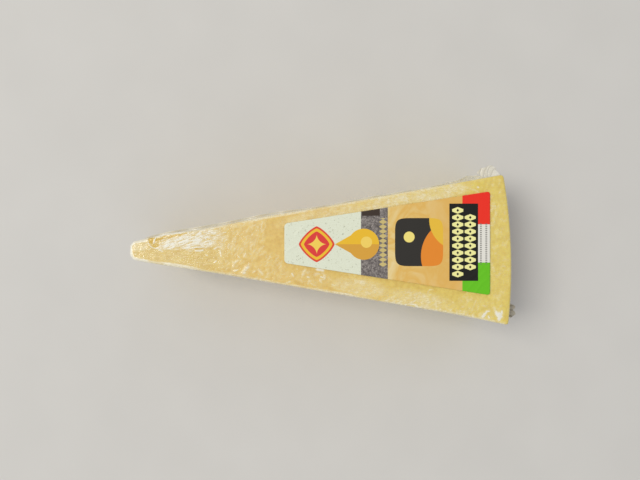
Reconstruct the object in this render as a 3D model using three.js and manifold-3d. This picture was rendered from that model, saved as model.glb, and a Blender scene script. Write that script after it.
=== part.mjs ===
// A long slim wedge of hard cheese in a clear vacuum bag, with a paper label on its top face.
// Millimetres, +Z up. The wedge lies on one of its two cut flats. Its blunt nose points to -X
// and the curved rim of the wheel that it was cut from points to +X.
// The bag clings to the cheese, so wedge and bag are one solid: the rounded wedge, the bag's
// seam that stands off its +Y side and its rim, and the two crumpled ears where the seam turns.
// The origin is on the surface under the pack, below the middle of the pack's whole box.

import * as THREE from "three";
import { mergeVertices } from "three/addons/utils/BufferGeometryUtils.js";
import Module from "manifold-3d";

// Driving dimensions of the wedge. x runs from the nose's face and y from the nose's middle.
const LENGTH = 162.5; // from the nose's face to the furthest point of the rim
const HEIGHT = 40; // between the two cut flats
const NOSE_WIDTH = 7.15; // between the lines of the long sides, at the nose's face
const LEFT_TAPER = 0.181; // how far the long side on +Y runs out, for each mm of length
const RIGHT_TAPER = 0.172; // the same for the long side on -Y
const RIM_RADIUS = 235; // of the rim, seen from above
const RIM_MIDDLE_Y = -7.5; // the rim's furthest point, so the rim is not quite square to the wedge
const RIM_BELLY = 1.2; // how far the rim swells at half its height
const CUT_WAVE = 0.3; // how far the long sides, cut by wire, stray from flat
const CUT_WAVE_LENGTH = 52; // from one swell of a long side to the next
const NOSE_CORNER = 3.2; // length of the rounding on each upright edge of the nose
const RIM_CORNER = 1.7; // length of the rounding on each upright edge of the rim
const EDGE_ROUND = 1; // radius that the tight film leaves on the edges of both flats

// Driving dimensions of the bag's seam, which runs round the rim and along the side on +Y
const SEAM_Z = 29; // height of the seam above the surface
const SEAM_WIDTH = 2.1; // how far it stands off the wedge
const SEAM_THICKNESS = 1;
const SEAM_END = 7.7; // x near the nose at which it runs out
const SEAM_RIPPLE = 0.4; // how far its edge waves up and down
const SEAM_RIPPLE_LENGTH = 13;
const ROOT_DEPTH = 1.5; // how far it reaches into the wedge, to be one body with it

// An ear is a stretch of the seam that stands further off, folded in pleats. It is at its full
// reach between fullFrom and fullTo, measured along the seam from the end of the side on -Y.
// A pleat is so long, and swings up and down by its height at the free edge. The film of an ear
// with a bearing all points that way, in degrees from +X.
const RIGHT_EAR = {
  from: 1.6,
  fullFrom: 2.8,
  fullTo: 6.8,
  to: 9.3,
  reach: 5.9,
  pleat: 3.2,
  height: 1.4,
  bearing: -2,
};
const LEFT_EAR = {
  from: 63,
  fullFrom: 66.8,
  fullTo: 72.4,
  to: 74.6,
  reach: 6,
  pleat: 3,
  height: 1.4,
};
// The seam is also wider just beyond the ear on +Y, with flatter pleats.
const SHOULDER = {
  from: 75,
  fullFrom: 77,
  fullTo: 83,
  to: 92,
  reach: 3.4,
  pleat: 4.5,
  height: 0.5,
};

// Driving dimensions of the label
const LABEL_START = 65.8; // x of its narrow end
const LABEL_END = 153.2; // x of its wide end
const LABEL_NARROW = 16.7; // width at the narrow end
const LABEL_WIDE = 44; // width at the wide end
const LABEL_MIDDLE_Y = 2.95;
const LABEL_CORNER = 1.8;
const LABEL_THICKNESS = 0.25;
const GAP = 0.3; // between neighbours that touch

// Fineness of the faceting
const SIDE_STEPS = 34;
const RIM_STEPS = 20;
const CORNER_STEPS = 5;
const ROUND_STEPS = 4;
const WALL_STEPS = 5;
const EAR_STEP = 0.55;
const SEAM_STEP = 2.2;
const ACROSS_STEPS = 2;

const rimCentre = new THREE.Vector2(LENGTH - RIM_RADIUS, RIM_MIDDLE_Y);

function onLeft(x) {
  return new THREE.Vector2(x, NOSE_WIDTH / 2 + LEFT_TAPER * x);
}

function onRight(x) {
  return new THREE.Vector2(x, -NOSE_WIDTH / 2 - RIGHT_TAPER * x);
}

function onRim(y) {
  const x = rimCentre.x + Math.sqrt(RIM_RADIUS ** 2 - (y - rimCentre.y) ** 2);
  return new THREE.Vector2(x, y);
}

// Where a long side meets the rim. Each turn of the loop brings the point closer.
function rimEnd(onSide) {
  let end = onSide(LENGTH);
  for (let turn = 0; turn < 6; turn += 1) end = onSide(onRim(end.y).x);
  return end;
}

const leftEnd = rimEnd(onLeft);
const rightEnd = rimEnd(onRight);

// The wedge's walls and corners seen from above, anticlockwise from the nose's corner on -Y.
const corner = (start, middle, end) => new THREE.QuadraticBezierCurve(start, middle, end);
const noseRight = corner(
  onRight(0).setY(onRight(0).y + NOSE_CORNER),
  onRight(0),
  onRight(NOSE_CORNER),
);
const rimRight = corner(
  onRight(rightEnd.x - RIM_CORNER),
  rightEnd,
  onRim(rightEnd.y + RIM_CORNER),
);
const rimLeft = corner(
  onRim(leftEnd.y - RIM_CORNER),
  leftEnd,
  onLeft(leftEnd.x - RIM_CORNER),
);
const noseLeft = corner(
  onLeft(NOSE_CORNER),
  onLeft(0),
  onLeft(0).setY(onLeft(0).y - NOSE_CORNER),
);
const rightSide = new THREE.LineCurve(noseRight.v2, rimRight.v0);
const leftSide = new THREE.LineCurve(rimLeft.v2, noseLeft.v0);
const rim = new THREE.EllipseCurve(
  rimCentre.x,
  rimCentre.y,
  RIM_RADIUS,
  RIM_RADIUS,
  rimRight.v2.clone().sub(rimCentre).angle() - 2 * Math.PI,
  rimLeft.v0.clone().sub(rimCentre).angle(),
);

// Points along a curve, without its last, each with the way out of the wedge there.
function pointsAlong(curve, steps) {
  const points = [];
  for (let i = 0; i < steps; i += 1) {
    const { x, y } = curve.getPointAt(i / steps);
    const tangent = curve.getTangentAt(i / steps);
    points.push({ x, y, out: new THREE.Vector2(tangent.y, -tangent.x) });
  }
  return points;
}

// How far a wall swells: the rim as a belly, the long sides in the wire's slow wave.
function swell(curve, point, z) {
  const upright = Math.sin((Math.PI * z) / HEIGHT); // none at either flat
  if (curve === rim) return RIM_BELLY * upright;
  if (curve !== leftSide && curve !== rightSide) return 0;
  const fade = Math.min(1, point.x / CUT_WAVE_LENGTH, (LENGTH - point.x) / CUT_WAVE_LENGTH);
  const phase = (2 * Math.PI * point.x) / CUT_WAVE_LENGTH + Math.sign(point.y);
  return CUT_WAVE * fade * upright * Math.sin(phase);
}

// [height, inset] of each ring from the lower flat to the upper one, round both edges.
function ringLevels() {
  const levels = [];
  for (let i = 0; i <= ROUND_STEPS; i += 1) {
    const angle = (Math.PI / 2) * (i / ROUND_STEPS);
    levels.push([EDGE_ROUND * (1 - Math.cos(angle)), EDGE_ROUND * (1 - Math.sin(angle))]);
  }
  const above = levels.map(([z, inset]) => [HEIGHT - z, inset]).reverse();
  for (let i = 1; i < WALL_STEPS; i += 1) {
    levels.push([THREE.MathUtils.lerp(EDGE_ROUND, HEIGHT - EDGE_ROUND, i / WALL_STEPS), 0]);
  }
  return [...levels, ...above];
}

function indexed(places, faces) {
  const geometry = new THREE.BufferGeometry();
  geometry.setAttribute("position", new THREE.Float32BufferAttribute(places, 3));
  geometry.setIndex(faces);
  return geometry;
}

// The wedge: rings of the plan stacked up, closed by the two flats.
function wedgeGeometry() {
  const walls = [
    [noseRight, CORNER_STEPS],
    [rightSide, SIDE_STEPS],
    [rimRight, CORNER_STEPS],
    [rim, RIM_STEPS],
    [rimLeft, CORNER_STEPS],
    [leftSide, SIDE_STEPS],
    [noseLeft, CORNER_STEPS],
    [new THREE.LineCurve(noseLeft.v2, noseRight.v0), 1],
  ];
  const plan = walls.flatMap(([curve, steps]) =>
    pointsAlong(curve, steps).map((point) => ({ ...point, curve })),
  );
  const places = [];
  const levels = ringLevels();
  for (const [z, inset] of levels) {
    for (const point of plan) {
      const out = swell(point.curve, point, z) - inset;
      places.push(point.x + point.out.x * out, point.y + point.out.y * out, z);
    }
  }
  const count = plan.length;
  const faces = [];
  for (let ring = 0; ring < levels.length - 1; ring += 1) {
    for (let i = 0; i < count; i += 1) {
      const a = ring * count + i;
      const b = ring * count + ((i + 1) % count);
      faces.push(a, b, b + count, a, b + count, a + count);
    }
  }
  const top = (levels.length - 1) * count;
  const contour = plan.map((_, i) => new THREE.Vector2(places[3 * i], places[3 * i + 1]));
  for (const [a, b, c] of THREE.ShapeUtils.triangulateShape(contour, [])) {
    faces.push(a, c, b, top + a, top + b, top + c);
  }
  return indexed(places, faces);
}

// From 0 at an ear's ends to 1 at its full reach, for a place along the seam.
function earShare(ear, place) {
  const rise = THREE.MathUtils.smoothstep(place, ear.from, ear.fullFrom);
  return rise * (1 - THREE.MathUtils.smoothstep(place, ear.fullTo, ear.to));
}

// Stations along the seam, from the end of the side on -Y round the rim to the nose. Each has
// its place on the wedge, the way out there, how far the film stands off and how far its free
// edge is lifted. Both ends run out into the wedge.
function seamStations() {
  const stations = [];
  const side = new THREE.LineCurve(rimLeft.v2, onLeft(SEAM_END));
  let passed = 0;
  for (const curve of [rimRight, rim, rimLeft, side]) {
    const length = curve.getLength();
    let along = 0;
    while (along < length) {
      const place = passed + along;
      const { x, y } = curve.getPointAt(along / length);
      const tangent = curve.getTangentAt(along / length);
      const out = new THREE.Vector2(tangent.y, -tangent.x);
      const width = SEAM_WIDTH + (curve === rim ? RIM_BELLY : 0);
      let reach = place < RIGHT_EAR.fullFrom ? -ROOT_DEPTH / 2 : width;
      let lift = SEAM_RIPPLE * Math.sin((2 * Math.PI * place) / SEAM_RIPPLE_LENGTH);
      let step = SEAM_STEP;
      for (const ear of [RIGHT_EAR, LEFT_EAR, SHOULDER]) {
        const share = earShare(ear, place);
        const pleat = Math.cos((2 * Math.PI * (place - ear.fullFrom)) / ear.pleat);
        reach += (ear.reach * (0.94 + 0.06 * pleat) - reach) * share;
        lift += (ear.height * pleat - lift) * share;
        if (ear.bearing !== undefined) {
          const bearing = THREE.MathUtils.degToRad(ear.bearing);
          out.lerp(new THREE.Vector2(Math.cos(bearing), Math.sin(bearing)), share).normalize();
        }
        if (place > ear.from - SEAM_STEP && place < ear.to) step = EAR_STEP;
      }
      stations.push({ x, y, out, reach, lift });
      along += step;
    }
    passed += length;
  }
  stations.at(-1).reach = -ROOT_DEPTH / 2;
  return stations;
}

// The seam: a band with an upper and a lower face and a rim round both, rooted in the wedge.
function seamGeometry() {
  const stations = seamStations();
  const places = [];
  for (const half of [-SEAM_THICKNESS / 2, SEAM_THICKNESS / 2]) {
    for (const { x, y, out, reach, lift } of stations) {
      for (let j = 0; j <= ACROSS_STEPS; j += 1) {
        const share = j / ACROSS_STEPS;
        const off = THREE.MathUtils.lerp(-ROOT_DEPTH, reach, share);
        places.push(x + out.x * off, y + out.y * off, SEAM_Z + lift * share + half);
      }
    }
  }
  const row = ACROSS_STEPS + 1;
  const layer = stations.length * row;
  const last = stations.length - 1;
  const faces = [];
  for (let i = 0; i < last; i += 1) {
    for (let j = 0; j < ACROSS_STEPS; j += 1) {
      const a = i * row + j;
      faces.push(a, a + row, a + row + 1, a, a + row + 1, a + 1);
      const b = a + layer;
      faces.push(b, b + row + 1, b + row, b, b + 1, b + row + 1);
    }
  }
  const wall = (a, b) => faces.push(a, b, b + layer, a, b + layer, a + layer);
  for (let i = 0; i < last; i += 1) {
    wall((i + 1) * row, i * row);
    wall(i * row + ACROSS_STEPS, (i + 1) * row + ACROSS_STEPS);
  }
  for (let j = 0; j < ACROSS_STEPS; j += 1) {
    wall(j, j + 1);
    wall(last * row + j + 1, last * row + j);
  }
  return indexed(places, faces);
}

const wasm = await Module();
wasm.setup();

// One solid from closed geometries that overlap.
function joined(geometries) {
  const solids = geometries.map((geometry) => {
    const merged = mergeVertices(geometry, 1e-4);
    const vertProperties = new Float32Array(merged.getAttribute("position").array);
    const triVerts = new Uint32Array(merged.getIndex().array);
    return new wasm.Manifold(new wasm.Mesh({ numProp: 3, vertProperties, triVerts }));
  });
  const mesh = solids.reduce((whole, solid) => whole.add(solid)).getMesh();
  return indexed(Array.from(mesh.vertProperties), Array.from(mesh.triVerts));
}

// The label: a tapered sheet with rounded corners, flat on the upper cut face.
function labelGeometry() {
  const at = (x, width, side) => new THREE.Vector2(x, LABEL_MIDDLE_Y + (side * width) / 2);
  const corners = [
    at(LABEL_START, LABEL_NARROW, -1),
    at(LABEL_END, LABEL_WIDE, -1),
    at(LABEL_END, LABEL_WIDE, 1),
    at(LABEL_START, LABEL_NARROW, 1),
  ];
  const towards = (from, to) =>
    from.clone().add(to.clone().sub(from).setLength(LABEL_CORNER));
  const points = corners.flatMap((middle, i) => {
    const start = towards(middle, corners[(i + 3) % 4]);
    const end = towards(middle, corners[(i + 1) % 4]);
    return corner(start, middle, end).getPoints(CORNER_STEPS);
  });
  return new THREE.ExtrudeGeometry(new THREE.Shape(points), {
    depth: LABEL_THICKNESS,
    bevelEnabled: false,
  });
}

function named(name, geometry, colour, roughness) {
  const material = new THREE.MeshStandardMaterial({ color: colour, roughness, metalness: 0 });
  const mesh = new THREE.Mesh(geometry, material);
  mesh.name = name;
  return mesh;
}

const wedge = named(
  "wrapped_wedge",
  joined([wedgeGeometry(), seamGeometry()]),
  0xdfc67f,
  0.3,
);
const label = named("label", labelGeometry(), 0xe0e1cb, 0.5);
label.position.z = HEIGHT + GAP;

// The pack stands with the middle of its whole box over the origin.
const box = new THREE.Box3().setFromObject(wedge);
const pack = new THREE.Group();
pack.add(wedge, label);
pack.position.set(-(box.min.x + box.max.x) / 2, -(box.min.y + box.max.y) / 2, 0);

export default pack;
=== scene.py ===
# %% [markdown]
# A long slim wedge of hard cheese, shrunk into a clear vacuum bag, with a printed label on top.
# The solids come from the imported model, which this script loads first and never moves. What it
# makes is the look: the cheese, the film over it, the bag's crumpled seam and the label.

# %% The frame
import math
import random

import bmesh
import bpy
import numpy as np
from mathutils import Matrix, Vector, noise


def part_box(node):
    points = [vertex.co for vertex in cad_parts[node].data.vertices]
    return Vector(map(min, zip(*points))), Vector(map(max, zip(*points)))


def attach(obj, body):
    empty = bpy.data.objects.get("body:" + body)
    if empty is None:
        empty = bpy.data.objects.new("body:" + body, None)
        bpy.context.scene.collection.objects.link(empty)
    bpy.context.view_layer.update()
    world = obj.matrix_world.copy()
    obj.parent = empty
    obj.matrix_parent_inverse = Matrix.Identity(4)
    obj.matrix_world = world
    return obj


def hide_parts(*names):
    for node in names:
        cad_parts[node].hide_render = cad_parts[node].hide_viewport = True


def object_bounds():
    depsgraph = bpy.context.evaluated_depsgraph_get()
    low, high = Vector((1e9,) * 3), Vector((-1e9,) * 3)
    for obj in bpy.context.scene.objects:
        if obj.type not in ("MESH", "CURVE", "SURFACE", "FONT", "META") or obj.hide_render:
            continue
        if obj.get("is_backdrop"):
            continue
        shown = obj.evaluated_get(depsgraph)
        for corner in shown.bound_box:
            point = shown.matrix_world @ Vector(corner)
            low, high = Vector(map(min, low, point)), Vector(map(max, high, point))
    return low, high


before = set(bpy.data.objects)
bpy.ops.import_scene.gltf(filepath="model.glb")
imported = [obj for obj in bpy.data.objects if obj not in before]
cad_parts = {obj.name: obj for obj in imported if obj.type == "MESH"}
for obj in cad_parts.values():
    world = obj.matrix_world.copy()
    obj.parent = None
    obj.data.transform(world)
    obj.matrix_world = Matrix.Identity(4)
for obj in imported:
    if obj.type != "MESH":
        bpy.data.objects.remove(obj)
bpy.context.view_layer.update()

MM = 0.001
print("nodes:", sorted(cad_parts))

# %% [markdown]
# The wedge's own sizes, in millimetres. x runs from the nose's face towards the rim, and y from
# the nose's middle. They are the solid's, but for three things: the soft swells of the long
# sides and the flare before the rim, all lower than a millimetre, belong to the look alone, and
# the corner radii are set so that this block's corners come out as round as the solid's. Two
# corners of the solids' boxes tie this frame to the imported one.

# %% Sizes of the wedge
LENGTH = 162.5
HEIGHT = 40.0
NOSE_WIDTH = 7.15
LEFT_TAPER = 0.181
RIGHT_TAPER = 0.172
RIM_RADIUS = 235.0
RIM_MIDDLE_Y = -7.5
RIM_BELLY = 1.2
CUT_WAVE = 0.3
CUT_WAVE_LENGTH = 52.0
NOSE_CORNER = 2.45
RIM_CORNER = 1.45
EDGE_ROUND = 1.0
LABEL_MIDDLE_Y = 2.95
FLARE = 0.9
FLARE_START = 136.0
# start, end and height of each swell of a side
RIGHT_SWELL = (-26.0, 42.0, 0.45)
LEFT_SWELLS = ((3.0, 30.0, 0.5), (36.0, 84.0, 0.35))

wedge_low, wedge_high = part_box("wrapped_wedge")
label_low, label_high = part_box("label")
shift = Vector((wedge_low[0], (label_low[1] + label_high[1]) / 2 - LABEL_MIDDLE_Y * MM, 0))
rim_centre = np.array((LENGTH - RIM_RADIUS, RIM_MIDDLE_Y))
sides = [round((high - low) / MM, 1) for low, high in zip(wedge_low, wedge_high)]
print("the wedge's solid, with seam and ears, measures", sides, "mm")
print(f"the nose's face lies at x = {shift.x / MM:.2f} mm in the packed frame")


def swell(x, start, end, height):
    """A soft swell of a side between two places along it."""
    share = np.clip((x - start) / (end - start), 0, 1)
    return height * np.sin(math.pi * share) ** 2


def side_right(x):
    """The long side on -Y, which swells near the nose and flares a little towards the rim."""
    flare = FLARE * np.clip((x - FLARE_START) / (LENGTH - FLARE_START), 0, 1) ** 1.5
    return -NOSE_WIDTH / 2 - RIGHT_TAPER * x - flare - swell(x, *RIGHT_SWELL)


def side_left(x):
    """The long side on +Y, with two slight swells of its own."""
    return NOSE_WIDTH / 2 + LEFT_TAPER * x + sum(swell(x, *at) for at in LEFT_SWELLS)


def rim_x(y):
    """How far the rim's arc runs out at this place across the wedge."""
    return rim_centre[0] + np.sqrt(RIM_RADIUS**2 - (y - rim_centre[1]) ** 2)


print(f"the long sides end {side_left(LENGTH) - side_right(LENGTH):.1f} mm apart")

# %% [markdown]
# Cheese and film have the same form, a block whose four walls lean in plan and whose edges are
# rounded. A cube cut into a fine grid can be laid onto that form: each grid point goes to its
# share of the length, width and height, and near an edge it is drawn in onto the rounding. A
# bevel would round the edges too, but it leaves the flats as one big face with nothing to
# wrinkle. The grid stays regular, so folds of film can be raised anywhere on it later.

# %% A block laid onto the wedge's form
# depths below this, in millimetres, count as on the wall
ON_WALL = 1e-6
# shares this close to 0 or 1 count as on a wall of the cube
AT_END = 0.0001
# keeps divisions away from zero
TINY = 1e-9


def drawn_in(depth_a, depth_b, radius):
    """Depths below two walls, drawn in so that the corner between the walls is round."""
    a = depth_a - radius
    b = depth_b - radius
    near = (a < 0) & (b < 0)
    length = np.where(near, np.hypot(a, b), 1.0)
    pull = np.where(near, np.maximum(-a, -b) / length, 1.0)
    return radius + a * pull, radius + b * pull, near


def eased(share, strength):
    """Shares from 0 to 1 that crowd towards both ends, where the roundings are."""
    return share - strength * np.sin(2 * math.pi * share) / (2 * math.pi)


def on_wedge(unit, inset=0.0):
    """Points of a unit cube on the wedge, the way out at each, and its depth in from the walls."""
    u, v, w = unit.T
    # The rim's arc ties x to y and the tapers tie y to x, and four rounds settle both.
    x = u * LENGTH
    for _ in range(4):
        y = side_right(x) + (side_left(x) - side_right(x)) * v
        x = u * rim_x(y)
    z = w * HEIGHT
    # The nearer end wall and the nearer long side: the depth below each, and the way out.
    plan = np.stack((x, y), axis=1)
    from_centre = plan - rim_centre
    from_rim_centre = np.linalg.norm(from_centre, axis=1)
    at_nose = u < 0.5
    radial = from_centre / from_rim_centre[:, None]
    end_depth = np.where(at_nose, x, RIM_RADIUS - from_rim_centre)
    end_out = np.where(at_nose[:, None], (-1.0, 0.0), radial)
    end_radius = np.where(at_nose, NOSE_CORNER, RIM_CORNER)
    left_out = np.array((-LEFT_TAPER, 1.0)) / math.hypot(LEFT_TAPER, 1)
    right_out = np.array((-RIGHT_TAPER, -1.0)) / math.hypot(RIGHT_TAPER, 1)
    at_right = v < 0.5
    side_out = np.where(at_right[:, None], right_out, left_out)
    from_side = np.where(at_right, y - side_right(x), side_left(x) - y)
    side_depth = from_side * np.abs(side_out[:, 1])
    end_new, side_new, cornered = drawn_in(end_depth, side_depth, end_radius)
    plan += end_out * (end_depth - end_new)[:, None]
    plan += side_out * (side_depth - side_new)[:, None]
    corner_out = end_out * (end_radius - end_new)[:, None]
    corner_out += side_out * (end_radius - side_new)[:, None]
    corner_reach = np.maximum(np.linalg.norm(corner_out, axis=1), TINY)
    depth = np.where(cornered, end_radius - corner_reach, np.minimum(end_new, side_new))
    nearer = np.where((end_new < side_new)[:, None], end_out, side_out)
    plan_out = np.where(cornered[:, None], corner_out / corner_reach[:, None], nearer)
    # The rounding between the walls and the two flats.
    above = w > 0.5
    flat_depth = np.where(above, HEIGHT - z, z)
    depth_new, flat_new, _ = drawn_in(depth, flat_depth, EDGE_ROUND)
    plan += plan_out * (depth - depth_new)[:, None]
    z = np.where(above, HEIGHT - flat_new, flat_new)
    # The walls swell between the flats: the rim as a belly, the long sides as the wire's wave.
    upright = np.sin(math.pi * z / HEIGHT) * (depth < ON_WALL)
    near_side = np.clip(side_depth / (3 * RIM_CORNER), 0, 1)
    belly = RIM_BELLY * near_side * (u > 1 - AT_END)
    fade = np.minimum(1, np.minimum(x, LENGTH - x) / CUT_WAVE_LENGTH)
    wave = CUT_WAVE * fade * np.sin(2 * math.pi * x / CUT_WAVE_LENGTH + np.sign(y))
    wave *= (v < AT_END) | (v > 1 - AT_END)
    plan += plan_out * (upright * (belly + wave))[:, None]
    # The way out of the finished surface.
    wall_share = np.clip(1 - depth_new / EDGE_ROUND, 0, 1)
    flat_share = np.clip(1 - flat_new / EDGE_ROUND, 0, 1)
    out = np.column_stack((plan_out * wall_share[:, None], np.where(above, flat_share, -flat_share)))
    out /= np.maximum(np.linalg.norm(out, axis=1, keepdims=True), TINY)
    return np.column_stack((plan, z)) - out * inset, out, depth_new


at_corner = drawn_in(np.zeros(1), np.zeros(1), EDGE_ROUND)[0][0]
print(f"a sharp edge is drawn in by {at_corner:.2f} mm from each wall")

# %% [markdown]
# Every piece starts as a grid, of a cube or of a square, and its points are moved to their
# places in millimetres. A sheet gets its thickness from Solidify after that. Its normals are
# then worked out anew, because a shell can come out turned inside out. Numbers marked on the
# points go with them, so a finish can read where a piece is milky, for one.

# %% From a grid to a piece


def gridded_block(cells, crowding):
    """A cube cut into this many cells along x, y and z, and its points as shares of it."""
    bm = bmesh.new()
    bmesh.ops.create_cube(bm, size=1)
    for axis, number in enumerate(cells):
        uncut = [e for e in bm.edges if abs((e.verts[0].co - e.verts[1].co)[axis]) > 0.5]
        bmesh.ops.subdivide_edges(bm, edges=uncut, cuts=number - 1, use_grid_fill=True)
    shares = np.array([v.co for v in bm.verts]) + 0.5
    return bm, np.column_stack([eased(shares[:, axis], s) for axis, s in enumerate(crowding)])


def move(bm, places):
    """Moves the points to these places in millimetres and makes the surface smooth."""
    for vert, place in zip(bm.verts, places):
        vert.co = Vector(place) * MM + shift
    bmesh.ops.recalc_face_normals(bm, faces=bm.faces)
    if bm.calc_volume(signed=True) < 0:
        bmesh.ops.reverse_faces(bm, faces=bm.faces)
    for face in bm.faces:
        face.smooth = True


def gridded_sheet(cells):
    """A flat square cut into this many cells along x and y, and its points as shares of it."""
    bm = bmesh.new()
    bmesh.ops.create_grid(bm, x_segments=cells[0], y_segments=cells[1], size=0.5)
    return bm, np.array([v.co for v in bm.verts]) + 0.5


def thicken(bm, places, thickness):
    """Moves a sheet's points to these places and gives it this thickness, in millimetres."""
    for vert, place in zip(bm.verts, places):
        vert.co = Vector(place)
    bmesh.ops.solidify(bm, geom=bm.faces[:], thickness=thickness)
    move(bm, [v.co.copy() for v in bm.verts])


def mark(bm, name, values):
    """Gives each point a number that a finish can read by this name."""
    layer = bm.verts.layers.float.new(name)
    for vert, value in zip(bm.verts, values):
        vert[layer] = value


def made(bm, name, material):
    """The bmesh as an object at the origin, which rides on the pack."""
    mesh = bpy.data.meshes.new(name)
    bm.to_mesh(mesh)
    bm.free()
    piece = bpy.data.objects.new(name, mesh)
    bpy.context.scene.collection.objects.link(piece)
    mesh.materials.append(material)
    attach(piece, "root")
    print(f"{name}: {len(mesh.polygons)} faces")
    return piece


# %% [markdown]
# Colours are written as the hex values that a paint chart or a photo editor shows. Blender
# works in linear light, so one function turns them. One more adds a node, and every finish
# below is a few calls of it: an input is a number, a hex colour, or the node that feeds it.

# %% Colours and nodes


def linear(hex_colour):
    """An sRGB hex colour as four linear numbers."""
    parts = [int(hex_colour[i : i + 2], 16) / 255 for i in (1, 3, 5)]
    return (*[c / 12.92 if c <= 0.04045 else ((c + 0.055) / 1.055) ** 2.4 for c in parts], 1.0)


def in_use(sockets, key=0):
    """The socket at this place, or with this name, among those that the node's mode uses."""
    used = [socket for socket in sockets if socket.enabled]
    return used[key] if isinstance(key, int) else next(s for s in used if s.name == key)


def node(tree, kind, inputs=None, stops=None, **settings):
    """Adds a node with its settings, its inputs and, for a ramp, its colour stops."""
    added = tree.nodes.new("ShaderNode" + kind)
    for key, value in settings.items():
        setattr(added, key, value)
    for key, value in (inputs or {}).items():
        socket = in_use(added.inputs, key)
        if isinstance(value, bpy.types.Node):
            value = in_use(value.outputs)
        if isinstance(value, bpy.types.NodeSocket):
            tree.links.new(value, socket)
        else:
            socket.default_value = linear(value) if isinstance(value, str) else value
    if stops:
        elements = added.color_ramp.elements
        while len(elements) < len(stops):
            elements.new(0.5)
        for element, (position, colour) in zip(elements, stops):
            element.position = position
            element.color = linear(colour)
    return added


def new_finish(name):
    """An empty material: its tree, its output, and the place in the wedge's millimetres."""
    material = bpy.data.materials.new(name)
    material.use_nodes = True
    tree = material.node_tree
    tree.nodes.clear()
    output = node(tree, "OutputMaterial")
    metres = node(tree, "TexCoord").outputs["Object"]
    moved = node(tree, "VectorMath", {0: metres, 1: shift}, operation="SUBTRACT")
    place = node(tree, "VectorMath", {0: moved, "Scale": 1 / MM}, operation="SCALE")
    return material, tree, output, place


print(f"middle grey, #808080, is {linear('#808080')[0]:.3f} in linear light")

# %% [markdown]
# The paste of a long-aged hard cheese is straw yellow, clouded by how the curd was pressed and
# specked with the pale crystals that come with age. Towards the nose it is painted a little
# duller and darker, as shade that offsets the key light, which falls stronger there; towards
# the rim it is yellower. Light goes a millimetre or two into it, which softens it. The rind is
# the wheel's outermost skin, dried and oiled to a golden brown, so its shade follows the
# distance from the wheel's middle.

# %% Finish: paste and rind
CLOUD_SIZE = 16
GRAIN_SIZE = 1.5
CRYSTAL_SPACING = 5.5
RIND_CLOUD_SIZE = 7
LIGHT_DEPTH = 1.5
RIND_INSIDE = RIM_RADIUS - 0.35
RIND_OUTSIDE = RIM_RADIUS + 0.15

cheese_finish, tree, output, place = new_finish("hard_cheese_paste_and_rind")
cloud = node(tree, "TexNoise", {"Vector": place, "Scale": 1 / CLOUD_SIZE, "Detail": 3.0})
straws = [(0.3, "#e2bd61"), (0.5, "#e6c46b"), (0.72, "#eacb79")]
paste_tone = node(tree, "ValToRGB", {0: cloud}, stops=straws)
along = node(tree, "SeparateXYZ", {0: place}).outputs["X"]
# painted shade: near the nose the paste is mixed with a darker tone, to offset the key light that
# falls stronger there
from_nose = {"Value": along, "From Min": 30.0, "From Max": 48.0, "To Min": 0.7, "To Max": 0.0}
nose_shade_share = node(tree, "MapRange", from_nose)
painted_nose_shade = {"Factor": nose_shade_share, "A": paste_tone, "B": "#dbc272"}
nose_shaded_tone = node(tree, "Mix", painted_nose_shade, data_type="RGBA")
to_heel = {"Value": along, "From Min": 75.0, "From Max": 150.0, "To Max": 0.85}
heel_share = node(tree, "MapRange", to_heel)
yellower = {"Factor": heel_share, "A": nose_shaded_tone, "B": "#e6d163"}
heel_tone = node(tree, "Mix", yellower, data_type="RGBA")
grain = node(tree, "TexNoise", {"Vector": place, "Scale": 1 / GRAIN_SIZE, "Detail": 4.0})
grain_tone = node(tree, "ValToRGB", {0: grain}, stops=[(0.32, "#f2ebde"), (0.62, "#ffffff")])
grainy = {"Factor": 1.0, "A": heel_tone, "B": grain_tone}
grained = node(tree, "Mix", grainy, data_type="RGBA", blend_type="MULTIPLY")
crystals = node(tree, "TexVoronoi", {"Vector": place, "Scale": 1 / CRYSTAL_SPACING}, feature="F1")
near_crystal = {"Value": crystals, "From Min": 0.035, "From Max": 0.075, "To Min": 0.6, "To Max": 0.0}
crystal_share = node(tree, "MapRange", near_crystal)
specks = {"Factor": crystal_share, "A": grained, "B": "#f1e3b4"}
specked = node(tree, "Mix", specks, data_type="RGBA")
flat_place = node(tree, "VectorMath", {0: place, 1: (1, 1, 0)}, operation="MULTIPLY")
wheel_middle = (*rim_centre, 0)
from_middle = node(tree, "VectorMath", {0: flat_place, 1: wheel_middle}, operation="DISTANCE")
distance = from_middle.outputs["Value"]
outermost = {"Value": distance, "From Min": RIND_INSIDE, "From Max": RIND_OUTSIDE}
rind_share = node(tree, "MapRange", outermost)
weathered = {"Vector": place, "Scale": 1 / RIND_CLOUD_SIZE, "Detail": 6.0, "Roughness": 0.65}
rind_cloud = node(tree, "TexNoise", weathered)
browns = [(0.3, "#a97a37"), (0.5, "#c0924a"), (0.7, "#cfa75f")]
rind_tone = node(tree, "ValToRGB", {0: rind_cloud}, stops=browns)
rinded = {"Factor": rind_share, "A": specked, "B": rind_tone}
cheese_tone = node(tree, "Mix", rinded, data_type="RGBA")
cheese_bump = node(tree, "Bump", {"Strength": 0.5, "Distance": 0.25 * MM, "Height": grain})
waxy = {
    "Base Color": cheese_tone,
    "Roughness": 0.55,
    "Subsurface Weight": 0.12,
    "Subsurface Scale": LIGHT_DEPTH * MM,
    "Subsurface Radius": (1.0, 0.7, 0.35),
    "Normal": cheese_bump,
}
cheese_shader = node(tree, "BsdfPrincipled", waxy)
tree.links.new(cheese_shader.outputs[0], output.inputs["Surface"])
print(f"{cheese_finish.name}: {len(tree.nodes)} nodes")

# %% [markdown]
# The cheese is laid just inside its solid, so that the film has its place on the surface. At
# the nose the film can't follow the sharp corners, and half a millimetre of air stays there.
# The wire that cut it leaves the flats very slightly uneven.

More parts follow.
